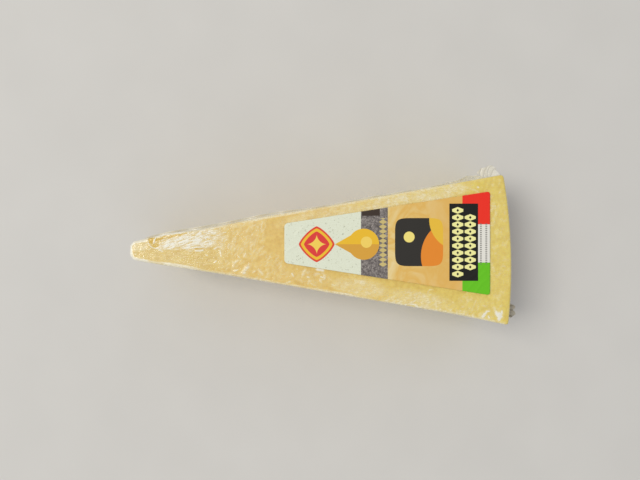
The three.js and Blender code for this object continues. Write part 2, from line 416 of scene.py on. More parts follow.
# %% The cheese
CHEESE_INSET = 0.08
CHEESE_CELLS = (200, 72, 22)
CHEESE_CROWDING = (0.3, 0.4, 0.85)
CUT_UNEVENNESS = 0.04
CUT_LUMP_SIZE = 4
NOSE_AIR = 0.55
NOSE_AIR_END = 6
SEED_STEP = 17.3


def smooth_step(value, low, high):
    """0 below the low value, 1 above the high one, and a smooth rise between."""
    share = np.clip((value - low) / (high - low), 0, 1)
    return share * share * (3 - 2 * share)


def lumps(places, size, seed, stretch=(1, 1, 1)):
    """Smooth noise from about -1 to 1, its lumps this wide in mm. Each seed gives another."""
    scaled = places / (np.array(stretch) * size) + seed * SEED_STEP
    return np.array([noise.noise(Vector(place)) for place in scaled])


bm, unit = gridded_block(CHEESE_CELLS, CHEESE_CROWDING)
places, out, _ = on_wedge(unit, CHEESE_INSET)
uneven = CUT_UNEVENNESS + CUT_UNEVENNESS * lumps(places, CUT_LUMP_SIZE, 1)
places -= out * uneven[:, None]
places[:, 0] += NOSE_AIR * np.clip(1 - places[:, 0] / NOSE_AIR_END, 0, 1)
move(bm, places)
cheese = made(bm, "cheese", cheese_finish)

# %% [markdown]
# The bag is a clear film, drawn onto the cheese by vacuum. Where it touches, it can't be seen
# but for its gloss. Where a little air is left under it, it turns milky, and there it also
# wrinkles. So each point of the film has three numbers: its haze tells clear from milky, its
# tint how much the milky part takes on the colour of what lies below, and its shade how wet
# and dark the cheese looks through it. The haze also carries painted highlights: the glare at
# the nose and the glints on folds and edges are painted in as milky white. The shade also
# carries painted shade, in thin dark lines beside folds, and on the ears the tint is painted
# shade in their creases and at the root. The clear part lets light through and mirrors the
# rest by the angle that light meets it at. The film is one thin skin, so light that leaves
# through it from inside isn't held back. A fine noise breaks the haze up, because the air
# under the film lies in countless small cells. Most of those are too small to show, so they
# are drawn nearly a millimetre wide.

# %% Finish: film
CRINKLE_SIZE = 0.9
AIR_CELL_SIZE = 0.8


def film_of(name, clear_colour, milky_colour, tinted_colour, shaded_colour="#faf4d6"):
    """A film finish: clear by its gloss, and milky by the haze marked on its points."""
    material, tree, output, place = new_finish(name)
    haze = node(tree, "Attribute", attribute_name="haze").outputs["Fac"]
    tint = node(tree, "Attribute", attribute_name="tint").outputs["Fac"]
    shade = node(tree, "Attribute", attribute_name="shade").outputs["Fac"]
    fine = {"Vector": place, "Scale": 1 / CRINKLE_SIZE, "Detail": 3.0, "Roughness": 0.6}
    crinkle = node(tree, "TexNoise", fine)
    film_bump = node(tree, "Bump", {"Strength": 0.35, "Distance": 0.12 * MM, "Height": crinkle})
    long_place = node(tree, "VectorMath", {0: place, 1: (0.5, 1, 1)}, operation="MULTIPLY")
    small = {"Vector": long_place, "Scale": 1 / AIR_CELL_SIZE, "Detail": 4.0, "Roughness": 0.7}
    cells = node(tree, "TexNoise", small)
    uneven = {"Value": cells, "From Min": 0.36, "From Max": 0.64, "To Min": 0.5, "To Max": 1.5}
    cell_share = node(tree, "MapRange", uneven)
    cellular = node(tree, "Math", {0: haze, 1: cell_share}, operation="MULTIPLY")
    closed = {"Value": haze, "From Min": 0.55, "From Max": 0.9, "To Max": 0.9}
    solid_share = node(tree, "MapRange", closed)
    broken = node(tree, "Math", {0: cellular, 1: solid_share}, operation="MAXIMUM", use_clamp=True)
    inside = node(tree, "NewGeometry").outputs["Backfacing"]
    outside = node(tree, "Math", {0: 1.0, 1: inside}, operation="SUBTRACT")
    fresnel = node(tree, "Fresnel", {"IOR": 1.5, "Normal": film_bump})
    mirrored = node(tree, "Math", {0: fresnel, 1: outside}, operation="MULTIPLY")
    milky_share = node(tree, "Math", {0: broken, 1: outside}, operation="MULTIPLY")
    wet = {"Factor": shade, "A": clear_colour, "B": shaded_colour}
    seen_through = node(tree, "Mix", wet, data_type="RGBA")
    through = node(tree, "BsdfTransparent", {"Color": seen_through})
    gloss = node(tree, "BsdfGlossy", {"Roughness": 0.11, "Normal": film_bump})
    clear = node(tree, "MixShader", {0: mirrored, 1: through, 2: gloss})
    lit = {"Factor": tint, "A": milky_colour, "B": tinted_colour}
    milky_tone = node(tree, "Mix", lit, data_type="RGBA")
    soft = {"Base Color": milky_tone, "Roughness": 0.28, "Normal": film_bump}
    milky = node(tree, "BsdfPrincipled", soft)
    shader = node(tree, "MixShader", {0: milky_share, 1: clear, 2: milky})
    tree.links.new(shader.outputs[0], output.inputs["Surface"])
    print(f"{name}: {len(tree.nodes)} nodes")
    return material


film_finish = film_of("clear_vacuum_film", "#ffffff", "#edebdd", "#f0e3b1")
seam_finish = film_of("doubled_film_of_the_seam", "#f4f3ef", "#d5d2c3", "#dcc48a")
# an ear's tinted colour is painted shade, laid into its creases
ear_finish = film_of("pleated_film_of_the_ear", "#f4f3ef", "#e8e6dd", "#bdb8a6")
# the lower ear is painted darker and browner all over as shade, for it lies in the wedge's shadow
painted_shade_ear_finish = film_of("film_of_the_lower_ear_in_painted_shade", "#d8d0bc", "#bdb7a6", "#857a5c")

# %% [markdown]
# Air is left in patches, mostly at the nose and along the lower edge. Each patch is a soft
# ellipse, with its middle, its two half axes and its tilt. Then come its even haze, how much
# haze gathers in blotches, and how much the film crinkles there. The three milky patches over
# the upper half of the nose also paint the glare that the film mirrors there, a painted
# highlight. In a few pockets at the nose the film clings to wet cheese, which looks darker and
# deeper in colour there; the narrowest pockets are painted shade, dark lines beside folds.

# %% Patches and pockets
# x, y, half length, half width, tilt in degrees, haze, blotches, crinkle
PATCHES = [
    (3.0, 2.0, 6.4, 3.6, 0, 0.46, 0.10, 0.3),
    (20.5, 7.4, 12.0, 2.2, 10, 0.60, 0.10, 0.1),
    (19.5, 2.9, 9.5, 3.2, 9, 0.66, 0.10, 0.1),
    (29.0, 4.4, 13.5, 5.2, 10, 0.62, 0.10, 0.1),
    (16.0, -4.0, 18.0, 4.4, -9, 0.12, 0.04, 0.1),
    (47.0, 11.4, 9.0, 2.4, 10, 0.32, 0.14, 0.3),
    (47.0, 4.0, 10.0, 8.0, 10, 0.12, 0.08, 0.4),
    (47.0, -7.2, 13.0, 4.2, -9, 0.08, 0.14, 0.6),
    (63.5, -10.6, 10.0, 4.6, -9, 0.10, 0.16, 0.6),
    (79.0, -12.2, 12.0, 4.2, -9, 0.14, 0.42, 1.0),
    (98.0, -16.0, 16.0, 5.0, -9, 0.42, 0.10, 0.3),
    (122.0, -21.4, 20.0, 5.4, -9, 0.38, 0.16, 0.4),
    (86.0, 14.8, 28.0, 5.0, 10, 0.40, 0.05, 0.2),
    (110.0, 20.4, 17.0, 4.2, 10, 0.46, 0.08, 0.3),
    (130.0, 24.4, 19.0, 5.4, 10, 0.45, 0.06, 0.15),
    (156.0, 2.0, 8.0, 44.0, 0, 0.08, 0.28, 0.9),
    (148.0, -25.0, 13.0, 7.0, -9, 0.12, 0.26, 0.8),
]
# half width and depth of colour, then the points along the pocket; the narrowest are painted shade
POCKETS = [
    (1.05, 1.0, (8.9, 4.8), (9.0, 3.8)),
    (0.70, 1.0, (9.1, 3.8), (9.8, 2.7)),
    (0.60, 0.5, (10.2, 2.9), (10.9, 2.3), (12.3, 1.8)),
    (0.24, 1.0, (9.5, 2.2), (10.4, 1.45), (11.4, 1.25), (12.9, 1.35)),
    (1.05, 0.8, (11.2, 4.4), (12.4, 4.45), (15.0, 5.25)),
    (0.68, 0.8, (15.0, 5.2), (17.6, 5.9)),
    (0.42, 0.7, (17.6, 5.9), (20.2, 6.4)),
    (0.24, 0.8, (20.0, 6.4), (24.4, 7.1)),
    (0.22, 1.0, (27.4, 0.55), (29.1, 0.65), (31.2, 0.85)),
]
PATCH_FADE = 0.5
POCKET_SPREAD = 1.2
POCKET_LIFT = 1.35


def in_patches(flat_places):
    """Haze, blotches and crinkle of the patches at each place, seen from above."""
    found = np.zeros((3, len(flat_places)))
    for x, y, half_length, half_width, tilt, *values in PATCHES:
        angle = math.radians(tilt)
        dx, dy = (flat_places - (x, y)).T
        a = (dx * math.cos(angle) + dy * math.sin(angle)) / half_length
        b = (-dx * math.sin(angle) + dy * math.cos(angle)) / half_width
        share = smooth_step(1 - np.sqrt(a * a + b * b), 0, PATCH_FADE)
        found = np.maximum(found, np.outer(values, share))
    return found


def near_line(flat_places, points, width):
    """1 on a line of points, falling off to 0 beside it."""
    nearest = np.full(len(flat_places), np.inf)
    for start, end in zip(points, points[1:]):
        step = np.subtract(end, start)
        beside = flat_places - start
        share = np.clip(beside @ step / (step @ step), 0, 1)
        nearest = np.minimum(nearest, ((beside - share[:, None] * step) ** 2).sum(axis=1))
    return np.exp(-nearest / width**2)


def in_pockets(flat_places):
    """How far each place is in a pocket, and how deep the colour is there."""
    found = np.zeros((2, len(flat_places)))
    for half_width, depth, *points in POCKETS:
        nearness = near_line(flat_places, points, POCKET_SPREAD * half_width)
        inside = smooth_step(POCKET_LIFT * nearness, 0.2, 0.9)
        found = np.maximum(found, (inside, depth * inside))
    return found


print(f"{len(PATCHES)} patches of air, {len(POCKETS)} pockets")

# %% [markdown]
# Folds are narrow ridges along a line of points on one wall. The larger ones on the upper flat
# are set one by one. The small ones are strewn over areas of each wall by a seeded generator,
# so each run gives the same film. On the upright walls they run up and down, most of them
# from the seam, because the bag is pulled in between the flats there. Their haze is partly
# painted highlight: the glints that the folds catch are painted in as milky white.

# %% Folds
# height, width and haze, then the points of the fold; the haze paints its glint too
SET_FOLDS = [
    (0.08, 0.24, 0.85, (7.7, 5.0), (8.0, 3.0), (8.9, 1.6), (10.3, 0.8), (12.0, 0.6), (13.8, 0.5)),
    (0.08, 0.30, 0.90, (12.6, 0.0), (14.2, -0.5)),
    (0.18, 0.26, 1.20, (11.3, 5.7), (10.6, 4.2), (10.3, 2.9)),
    (0.11, 0.50, 1.30, (11.2, 5.8), (12.6, 6.1)),
    (0.05, 0.26, 1.10, (11.4, 5.75), (15.0, 6.45), (18.0, 7.0), (23.0, 7.7)),
    (0.14, 0.34, 1.30, (28.2, -0.3), (29.8, -0.25), (31.2, -0.05)),
    (0.08, 0.20, 0.80, (25.3, -0.4), (26.6, -0.3)),
    (0.08, 0.20, 0.80, (19.8, 0.3), (20.8, 0.4)),
    (0.14, 0.30, 0.90, (38.4, -0.1), (38.7, -1.2), (39.0, -2.7)),
    (0.11, 0.30, 0.90, (32.6, -2.1), (33.1, -2.3)),
    (0.07, 0.20, 0.70, (56.5, 12.4), (56.1, 10.3), (56.2, 7.7)),
    (0.07, 0.20, 0.55, (54.8, 9.8), (54.5, 7.3), (54.6, 4.3)),
    (0.06, 0.20, 0.50, (53.8, 4.3), (53.0, 1.8), (52.7, -0.3)),
    (0.11, 0.28, 0.80, (49.3, -1.3), (48.6, -2.9)),
    (0.09, 0.25, 0.75, (46.2, -2.5), (46.8, -3.3)),
    (0.07, 0.25, 0.50, (46.4, 0.9), (46.1, -0.1)),
    (0.11, 0.35, 0.85, (36.0, -5.3), (36.9, -4.6)),
    (0.10, 0.60, 0.62, (44.0, -7.1), (44.6, -5.4), (45.9, -4.4)),
    (0.11, 0.30, 0.85, (44.4, -9.0), (46.0, -8.3)),
    (0.13, 0.95, 0.80, (48.4, -9.7), (49.3, -8.2), (50.3, -7.0)),
    (0.08, 0.25, 0.60, (49.7, -6.7), (51.0, -5.6)),
    (0.09, 0.35, 0.70, (52.5, -9.5), (53.3, -8.8)),
    (0.08, 0.25, 0.50, (59.9, -2.7), (58.2, -5.0)),
    (0.10, 0.75, 0.60, (55.0, -8.4), (56.3, -10.1)),
    (0.17, 0.34, 1.00, (69.0, -9.9), (69.6, -11.0)),
    (0.10, 0.60, 0.58, (73.7, -9.3), (74.7, -8.5)),
    (0.13, 0.40, 0.85, (75.6, -11.3), (76.4, -11.6)),
    (0.10, 0.22, 0.65, (79.6, -10.1), (82.2, -9.9), (83.4, -11.0), (82.8, -12.4), (81.1, -12.6)),
    (0.14, 0.40, 0.95, (81.3, -11.3), (82.0, -11.6)),
    (0.06, 0.55, 1.20, (79.6, -8.1), (82.2, -8.6)),
    (0.09, 0.30, 0.60, (77.1, -14.1), (78.4, -15.0)),
    (0.09, 0.55, 0.55, (66.5, -13.9), (68.2, -13.3)),
    (0.09, 0.25, 0.60, (120.6, -18.6), (121.4, -20.5), (121.8, -21.7)),
    (0.14, 0.50, 0.80, (119.5, -22.2), (121.0, -21.6)),
    (0.13, 0.45, 0.85, (118.5, -22.7), (121.6, -23.2)),
    (0.09, 0.40, 0.60, (113.6, -21.0), (114.9, -21.7)),
    (0.09, 0.22, 0.60, (128.9, -17.3), (128.1, -16.7), (127.1, -17.0),
        (126.7, -17.9), (127.0, -18.9), (127.8, -19.3)),
    (0.14, 0.38, 0.90, (147.8, 26.8), (148.2, 26.7)),
    (0.08, 0.30, 0.55, (141.6, 26.6), (144.6, 26.1), (147.1, 25.3), (148.2, 24.6)),
    (0.09, 0.40, 0.55, (155.2, 18.8), (155.4, 17.7)),
    (0.09, 0.40, 0.50, (154.9, 12.1), (155.1, 11.1)),
    (0.09, 0.35, 0.45, (147.2, -21.3), (146.3, -23.5), (145.7, -25.0), (144.9, -26.4)),
    (0.17, 0.80, 1.15, (150.1, -28.2), (150.7, -27.2)),
    (0.17, 0.55, 1.10, (150.7, -27.2), (151.7, -26.1)),
    (0.13, 0.40, 1.10, (151.6, -26.1), (152.7, -25.9)),
    (0.09, 0.55, 0.95, (152.5, -28.1), (152.7, -28.7)),
    (0.09, 0.80, 0.62, (154.8, -24.6), (155.4, -25.8)),
    (0.11, 0.85, 1.10, (155.7, -26.6), (156.3, -27.4)),
    (0.13, 0.45, 1.30, (158.1, -26.0), (158.2, -26.9)),
    (0.12, 1.15, 1.60, (157.0, -27.4), (157.2, -28.0)),
    (0.13, 0.75, 1.40, (157.0, -28.4), (156.9, -29.3)),
]
# wall, number, low corner, high corner, bearing, its spread, reach, height, haze
STREWN = [
    ("upper", 30, (0.8, -3.6), (8.5, 4.0), 2, 10, 1.6, 0.02, 0.60),
    ("upper", 120, (12.0, 0.8), (41.0, 10.0), 17, 7, 1.8, 0.03, 0.78),
    ("upper", 60, (9.0, -7.0), (40.0, 0.0), 8, 14, 1.6, 0.01, 0.36),
    ("upper", 300, (38.0, -2.0), (57.5, 13.0), 60, 16, 1.1, 0.01, 0.54),
    ("upper", 170, (36.0, -12.5), (66.0, -1.0), 48, 28, 1.0, 0.01, 0.50),
    ("upper", 80, (62.0, -18.0), (96.0, -8.5), 35, 40, 0.7, 0.04, 0.42),
    ("upper", 70, (96.0, -27.0), (146.0, -18.0), 60, 50, 0.8, 0.02, 0.44),
    ("upper", 130, (98.0, 17.5), (147.0, 30.5), 20, 60, 0.5, 0.03, 0.40),
    ("upper", 26, (60.0, 10.0), (100.0, 21.5), 80, 30, 0.4, 0.04, 0.40),
    ("upper", 60, (146.0, -28.0), (161.0, 30.0), 80, 40, 0.5, 0.03, 0.34),
    ("lower", 260, (4.0, -28.0), (160.0, 28.0), 30, 60, 1.6, 0.06, 0.50),
    ("left", 120, (6.0, 24.0), (158.0, 34.0), 90, 16, 5.0, 0.22, 0.40),
    ("left", 90, (2.0, 2.0), (160.0, 38.0), 80, 40, 3.5, 0.14, 0.30),
    ("right", 150, (2.0, 2.0), (160.0, 38.0), 84, 26, 5.0, 0.22, 0.48),
    ("rim", 50, (-30.0, 24.0), (31.0, 34.0), 90, 14, 5.0, 0.22, 0.40),
    ("rim", 50, (-30.0, 2.0), (31.0, 38.0), 84, 36, 3.5, 0.14, 0.30),
    ("nose", 16, (-3.0, 3.0), (3.0, 37.0), 84, 10, 5.0, 0.14, 0.50),
]
SEED = 7
# the least and the most that a strewn fold may take of each
FOLD_SIZES = (0.35, 1.0)
FOLD_BENDS = (-0.35, 0.35)
FOLD_WIDTHS = (0.18, 0.30)
FOLD_HEIGHTS = (0.4, 1)
FOLD_HAZES = (0.3, 1)
WIDER_REACH = 6
rng = random.Random(SEED)


def strewn_folds(number, low, high, bearing, spread, reach, height, haze):
    """Short bent folds, in random places of an area and about along one bearing."""
    folds = []
    for _ in range(number):
        middle = np.array((rng.uniform(low[0], high[0]), rng.uniform(low[1], high[1])))
        angle = math.radians(rng.gauss(bearing, spread))
        size = rng.uniform(*FOLD_SIZES)
        step = np.array((math.cos(angle), math.sin(angle))) * reach * size
        bend = np.array((-step[1], step[0])) * rng.uniform(*FOLD_BENDS)
        width = rng.uniform(*FOLD_WIDTHS) * (1 + reach / WIDER_REACH)
        points = (middle - step, middle + bend, middle + step)
        fold_height = height * rng.uniform(*FOLD_HEIGHTS)
        folds.append((fold_height, width, haze * rng.uniform(*FOLD_HAZES), *points))
    return folds


def folded(flat_places, folds):
    """The height, and the haze with its painted glints, that all these folds give at each place."""
    relief = np.zeros(len(flat_places))
    haze = np.zeros(len(flat_places))
    for height, width, fold_haze_and_glint, *points in folds:
        middle = np.mean(points, axis=0)
        span = max(math.dist(middle, point) for point in points) + 3 * width
        close = np.flatnonzero((np.abs(flat_places - middle) < span).all(axis=1))
        ridge = near_line(flat_places[close], points, width)
        relief[close] = np.maximum(relief[close], height * ridge)
        haze[close] = np.maximum(haze[close], fold_haze_and_glint * ridge)
    return relief, haze


strewn_number = sum(number for _, number, *_ in STREWN)
print(f"{len(SET_FOLDS)} folds set one by one, {strewn_number} strewn")

# %% [markdown]
# The film itself is the same block, laid just outside the cheese. Its folds belong to walls, so
# each point gets a share in each wall, and its place as seen square to that wall. The film lies
# flat under the label and where the pack stands, so its relief fades out there.

# %% The film's grid and its walls
FILM_OUTSET = 0.05
FILM_CELLS = (500, 100, 34)
FILM_NOSE_CROWDING = 0.6
FILM_CROWDING = (0.15, 0.4, 0.6)
LABEL_START = 65.8
LABEL_END = 153.0
LABEL_NARROW = 16.7
LABEL_WIDE = 44.0


def label_half_width(x):
    """Half the label's width at this place along it."""
    share = np.clip((x - LABEL_START) / (LABEL_END - LABEL_START), 0, 1)
    return (LABEL_NARROW + (LABEL_WIDE - LABEL_NARROW) * share) / 2


def between(value, low, high, soft):
    """1 where the value lies between low and high, with soft ends."""
    return smooth_step(value, low, low + soft) * (1 - smooth_step(value, high - soft, high))


bm, unit = gridded_block(FILM_CELLS, FILM_CROWDING)
unit[:, 0] *= FILM_NOSE_CROWDING + (1 - FILM_NOSE_CROWDING) * unit[:, 0]
places, out, depth = on_wedge(unit, -FILM_OUTSET)
x, y, z = places.T
walls = {
    "upper": (smooth_step(out[:, 2], 0.3, 0.8), places[:, [0, 1]]),
    "lower": (smooth_step(-out[:, 2], 0.3, 0.8), places[:, [0, 1]]),
    "left": (smooth_step(out[:, 1], 0.5, 0.9), places[:, [0, 2]]),
    "right": (smooth_step(-out[:, 1], 0.5, 0.9), places[:, [0, 2]]),
    "rim": (smooth_step(out[:, 0], 0.5, 0.9), places[:, [1, 2]]),
    "nose": (smooth_step(-out[:, 0], 0.5, 0.9), places[:, [1, 2]]),
}
on_top = walls["upper"][0]
off_ground = smooth_step(z, 0.2, 2.0)
beyond_side = np.abs(y - LABEL_MIDDLE_Y) - label_half_width(x)
beyond_label = np.maximum.reduce([LABEL_START - x, x - LABEL_END, beyond_side])
free = np.where(z > HEIGHT / 2, smooth_step(beyond_label, 0.0, 0.8), 1.0)
print(f"{len(places)} points of film, {np.count_nonzero(free == 0)} under the label")

# %% [markdown]
# Noise of several sizes raises the film by up to about a tenth of a millimetre: pebbles on
# the flat, crinkles and blotches where air is left, and upright folds on the walls. Where much
# air lies under it, at the nose, it is drawn into fine streaks, so its haze and its relief
# there follow a noise that is six times as long as it is wide and turned along them. In the
# glare that haze is a painted highlight, streaked white where the film mirrors the light.

# %% Air, wrinkles and folds
# sizes of the lumps, in millimetres
AIR_SIZE = 13
UNDERSIDE_AIR_SIZE = 14
MOTTLE_SIZE = 2.4
BLOTCH_SIZE = 1.5
STREAK_SIZE = 0.42
BREAK_SIZE = 0.45
WALL_FOLD_SIZE = 1.6
PEBBLE_SIZE = 1.5
# the streaks' turn in degrees, and where along the wedge the painted glare lies
STREAK_TILT = 17
GLARE_X = 25
GLARE_REACH = 16
# heights in millimetres, and hazes
PEBBLE_HEIGHT = 0.03
MOTTLE_HEIGHT = 0.04
BLOTCH_HEIGHT = 0.10
STREAK_HEIGHT = 0.025
WALL_FOLD_HEIGHT = 0.03
LIFTED_FOLD_HEIGHT = 0.12
POCKET_DEPTH = 0.03
STREAK_HAZE = 1.7
WALL_HAZE = 0.30

patch_haze, patch_blotches, patch_crinkle = in_patches(places[:, :2])
wall_lift = np.clip(lumps(places, AIR_SIZE, 2) + 0.1, 0, 1) * (1 - on_top)
mottle = lumps(places, MOTTLE_SIZE, 3)
blotches = smooth_step(lumps(places, BLOTCH_SIZE, 13), 0.08, 0.42)
tilted = places @ np.array(Matrix.Rotation(math.radians(STREAK_TILT), 3, "Z"))
streaks = lumps(tilted, STREAK_SIZE, 4, stretch=(6, 1, 1)) + 0.6 * lumps(places, BREAK_SIZE, 16)
wall_folds = lumps(places, WALL_FOLD_SIZE, 5, stretch=(1, 1, 6))
pebbles = lumps(places, PEBBLE_SIZE, 6)
in_glare = np.exp(-(((x - GLARE_X) / GLARE_REACH) ** 4))

relief = on_top * (1 - 0.8 * in_glare) * PEBBLE_HEIGHT * pebbles
relief += on_top * patch_crinkle * (MOTTLE_HEIGHT * mottle + BLOTCH_HEIGHT * blotches)
relief += on_top * in_glare * patch_haze * STREAK_HEIGHT * streaks
relief += (1 - on_top) * (WALL_FOLD_HEIGHT + LIFTED_FOLD_HEIGHT * wall_lift) * wall_folds
unrest = (0.4 - 0.3 * in_glare) * mottle
# painted highlight: in the glare at the nose the streaks add milky white for the light the film
# mirrors
haze = on_top * patch_haze * (1 + unrest + in_glare * STREAK_HAZE * streaks)
haze += on_top * patch_blotches * blotches
haze += wall_lift * WALL_HAZE * (1 + 0.6 * wall_folds)
below = walls["lower"][0] * smooth_step(lumps(places, UNDERSIDE_AIR_SIZE, 21), -0.2, 0.4)
haze += below * WALL_HAZE * (1 + 0.5 * mottle)
in_pocket, shade = in_pockets(places[:, :2]) * on_top
haze *= 1 - in_pocket
relief -= POCKET_DEPTH * in_pocket
for wall, (share, flat_places) in walls.items():
    folds = list(SET_FOLDS) if wall == "upper" else []
    for strewn_on, *area in STREWN:
        if strewn_on == wall:
            folds += strewn_folds(*area)
    # the folds' haze is partly painted highlight, their glints painted in as milky white
    fold_relief, fold_haze_and_glint = folded(flat_places, folds)
    relief += share * fold_relief
    haze = np.maximum(haze, share * fold_haze_and_glint)
print(f"the film's relief is up to {relief.max():.2f} mm high")

# %% [markdown]
# Along the edges of the flats the film is stretched tight and turns milky: most of all round
# the nose, and least at the rim. That pale line is also a painted highlight, standing in for
# the light that the film's rounding catches. Beside the lower edge it is also puckered, in
# short ridges that reach in from it.

# %% Tight edges and puckers
RIGHT_EDGE_HAZE = 0.54
LEFT_EDGE_HAZE = 0.52
RIM_EDGE_HAZE = 0.06
NOSE_EDGE_HAZE = 0.86
EDGE_WIDTH = 0.7
PUCKER_REACH = 2.5
PUCKER_HAZE = 0.80
PUCKER_HEIGHT = 0.2
NOSE_WALL_HAZE = 0.34

at_edge = smooth_step(np.abs(out[:, 2]), 0.02, 0.35)
long_lumps = lumps(places, 3.0, 7, stretch=(3, 1, 1))
tip = 1 - smooth_step(x, 6.0, 13.0)
below_nose = between(x, 9.0, 32.0, 7.0) * (y < 0)
left_edge = LEFT_EDGE_HAZE * (1 - smooth_step(x, 126.0, 142.0)) + 0.04
plain_edge = np.where(y < 0, RIGHT_EDGE_HAZE, left_edge)
at_rim = 1 - smooth_step(rim_x(y) - x, 1.0, 2.5)
plain_edge += (RIM_EDGE_HAZE - plain_edge) * at_rim
# the edge's haze is partly painted highlight, the light caught where the film rounds the edge
edge_haze_and_highlight = (plain_edge + (0.25 - 0.15 * at_rim) * long_lumps).clip(0, 1)
edge_haze_and_highlight += (NOSE_EDGE_HAZE - edge_haze_and_highlight) * np.maximum(tip, 0.75 * below_nose)
edge_width = EDGE_WIDTH + 0.25 * long_lumps + 0.3 * tip + 0.5 * below_nose
beyond_edge = smooth_step(depth, edge_width, edge_width + EDGE_WIDTH)
haze = np.maximum(haze, at_edge * (1 - beyond_edge) * edge_haze_and_highlight * (1 - in_pocket))
puckered = between(x, 104.0, 151.0, 6.0) * (y < 0) * on_top
pucker_reach = PUCKER_REACH + 1.2 * lumps(places, 6.0, 15, stretch=(1, 9, 9))
reach_in = np.exp(-((depth / pucker_reach) ** 2))
pucker = puckered * reach_in * smooth_step(lumps(places, 1.4, 14), -0.5, 0.3)
haze = np.maximum(haze, PUCKER_HAZE * pucker)
relief += PUCKER_HEIGHT * pucker * smooth_step(depth, 0.2, 1.0)
haze = np.maximum(haze, walls["nose"][0] * (NOSE_WALL_HAZE + 0.3 * wall_folds))
print(f"{np.count_nonzero(pucker > 0.5)} points of film are puckered")

# %% [markdown]
# Now the points go to their places, and each is marked with its haze, its tint and its shade.
# The film has 281,600 triangles, more than one piece should have, so it is parted in two just
# below the edge of the upper flat.

# %% The film, laid and parted
SUNK_MOST = -0.04
LOWEST = 0.02
HAZE_MOST = 0.95
PARTED_BELOW = 1.6

places += out * (np.maximum(relief * free, SUNK_MOST) * off_ground)[:, None]
places[:, 2] = np.maximum(places[:, 2], LOWEST)
haze *= np.where(z > HEIGHT / 2, smooth_step(beyond_label, -0.3, 0.1), 1.0)
haze = np.clip(haze, 0, HAZE_MOST)
mark(bm, "haze", haze)
# painted highlight: in the glare the milky film is left untinted, so that it shows white
mark(bm, "tint", np.clip((1.45 - 1.5 * haze) * (1 - 0.8 * in_glare * (y > 0)), 0, 1))
mark(bm, "shade", shade)
move(bm, places)
rest = bm.copy()
parted_at = shift.z + (HEIGHT - PARTED_BELOW) * MM
for half, dropped_above in ((bm, False), (rest, True)):
    dropped = [f for f in half.faces if (f.calc_center_median().z > parted_at) == dropped_above]
    bmesh.ops.delete(half, geom=dropped, context="FACES")
film_top = made(bm, "film_on_top", film_finish)
film_rest = made(rest, "film_round_the_sides", film_finish)

# %% [markdown]
# The bag's welded seam stands off the side on +Y and the rim as a narrow strip. It follows the
# wedge's own walls, so it starts from a path round them at the seam's height, and its reach
# changes along them. Its free edge is a pale roll. Next to the wedge it takes on the cheese's
# colour, and at the shoulder, before the corner of the rim, it is wide and crumpled.

# %% The seam's path
SEAM_Z = 29.0
SEAM_WIDTH = 2.1
SEAM_RIPPLE = 0.4
SEAM_RIPPLE_LENGTH = 13.0
SEAM_ROOT = 0.6
SEAM_THICKNESS = 0.16
SEAM_STEP = 0.32
# the seam starts this far before the rim's corner on -Y, on a side of this length
SEAM_FIRST = 1.7
RIGHT_SIDE_LENGTH = 161.3
SEAM_START = (1.6, 2.8)
SEAM_END = 2.2
# x on the side, the seam's reach there, and how much of it is pale
SEAM_REACHES = [
    (2.2, -0.3, 3.0),
    (3.2, 1.2, 3.0),
    (5.3, 1.6, 3.0),
    (9.0, 1.85, 3.0),
    (16.0, 1.6, 3.0),
    (24.0, 1.85, 3.0),
    (30.0, 2.1, 3.0),
    (35.0, 2.1, 1.1),
    (44.0, 1.9, 1.6),
    (62.0, 1.75, 1.8),
    (80.0, 1.6, 3.0),
    (94.0, 1.35, 3.0),
    (117.0, 1.3, 3.0),
    (130.0, 1.1, 3.0),
    (137.0, 1.5, 3.0),
    (142.5, 1.75, 3.0),
    (145.0, 2.3, 3.0),
    (147.1, 2.95, 3.0),
    (150.0, 2.55, 3.0),
    (152.5, 2.2, 3.0),
    (154.2, 0.6, 3.0),
]


def seam_path():
    """Even stations round the walls at the seam's height: place, point and way out."""
    corner_start = 1 - SEAM_FIRST / RIGHT_SIDE_LENGTH
    runs = [
        [(u, 0.0) for u in np.linspace(corner_start, 1, 60, endpoint=False)],
        [(1.0, v) for v in np.linspace(0, 1, 600, endpoint=False)],
        [(u, 1.0) for u in np.linspace(1, SEAM_END / LENGTH, 1200)],
    ]
    plan = np.array([point for run in runs for point in run])
    level = np.full((len(plan), 1), SEAM_Z / HEIGHT)
    points, out, _ = on_wedge(np.hstack((plan, level)))
    passed = np.linalg.norm(np.diff(points[:, :2], axis=0), axis=1)
    passed = np.concatenate(([0.0], np.cumsum(passed)))
    place = np.arange(0, passed[-1], SEAM_STEP)
    even = [np.interp(place, passed, column) for column in (*points[:, :2].T, *out[:, :2].T)]
    return place, np.column_stack(even[:2]), np.column_stack(even[2:])


place_along, root, way_out = seam_path()
on_side = smooth_step(way_out[:, 1], 0.6, 0.9)
stations, side_reach, side_pale = np.array(SEAM_REACHES).T
reach = SEAM_WIDTH + (np.interp(root[:, 0], stations, side_reach) - SEAM_WIDTH) * on_side
pale = SEAM_WIDTH + (np.interp(root[:, 0], stations, side_pale) - SEAM_WIDTH) * on_side
reach += (-SEAM_ROOT / 2 - reach) * (1 - smooth_step(place_along, *SEAM_START))
lift = SEAM_RIPPLE * np.sin(2 * math.pi * place_along / SEAM_RIPPLE_LENGTH)
print(f"the seam is {place_along[-1]:.0f} mm long")

# %% [markdown]
# A long narrow grid is laid along the path, a station of it to each row of points. Across it,
# the free edge is raised into a roll, a groove sets off the pale part, and the whole band
# waves. Where it is crumpled, some of its lumps are thin and clear.

